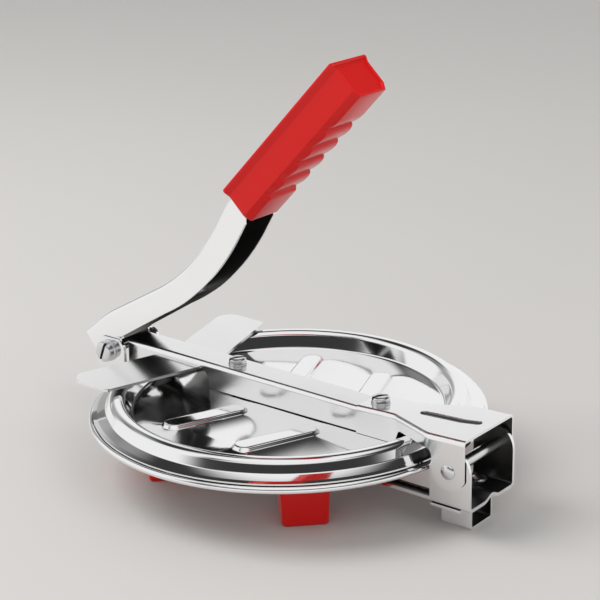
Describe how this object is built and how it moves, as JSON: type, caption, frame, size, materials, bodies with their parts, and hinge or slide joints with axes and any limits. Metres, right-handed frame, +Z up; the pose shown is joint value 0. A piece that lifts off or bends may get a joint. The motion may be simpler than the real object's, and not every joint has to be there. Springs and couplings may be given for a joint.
{
  "type": "tortilla press",
  "caption": "Hand press for flatbread dough: polished steel dishes, a hinged arm with lifting wings, a swan-neck lever with a moulded grip, and moulded feet.",
  "frame": {"origin": "bottom centre of the bounding box, on the table plane that the feet stand on", "axes": "+X along the arm from the lever to the hinge, +Y to the back, +Z up"},
  "size_m": [0.2174, 0.172, 0.1827],
  "materials": {
    "polished_steel": "mirror-polished stainless steel sheet",
    "fastener_steel": "bright turned or plated steel",
    "red_plastic": "glossy moulded red plastic"
  },
  "bodies": {
    "base": {"base_dish": "polished_steel", "base_channel": "polished_steel", "base_screws": "fastener_steel", "hinge_bracket": "polished_steel", "hinge_rivets": "fastener_steel", "hinge_leg": "polished_steel", "leg_rivets": "fastener_steel", "lever_fork": "polished_steel", "fork_rivets": "fastener_steel", "foot_hinge_front": "red_plastic", "foot_hinge_back": "red_plastic", "foot_lever_front": "red_plastic", "foot_lever_back": "red_plastic", "foot_screws": "fastener_steel", "hinge_pin": "fastener_steel"},
    "top": {"upper_dish": "polished_steel", "press_arm": "polished_steel", "hinge_yoke": "polished_steel", "pillar_lever": "fastener_steel", "pillar_hinge": "fastener_steel", "screw_lever": "fastener_steel", "screw_hinge": "fastener_steel", "washer_lever": "fastener_steel", "washer_hinge": "fastener_steel"},
    "pivot": {"pivot_screw": "fastener_steel", "pivot_washer": "fastener_steel", "pivot_nut": "fastener_steel"},
    "lever": {"lever": "polished_steel", "press_pin": "fastener_steel", "lever_grip": "red_plastic"}
  },
  "joints": [
    {"name": "lever_throw", "type": "hinge", "parent": "base", "child": "pivot", "pos_m": [-0.092, 0, 0.036], "axis": [0, -1, 0], "range_deg": [0, 140]},
    {"name": "lever_press", "type": "hinge", "parent": "pivot", "child": "lever", "pos_m": [-0.092, 0, 0.036], "axis": [0, -1, 0], "range_deg": [-29, 0]},
    {"name": "top_open", "type": "hinge", "parent": "base", "child": "top", "pos_m": [0.0995, 0, 0.0285], "axis": [0, 1, 0], "range_deg": [0, 53.2]}
  ],
  "couplings": [
    {"joint": "top_open", "follows": "lever_throw", "ratio": 0.38}
  ]
}
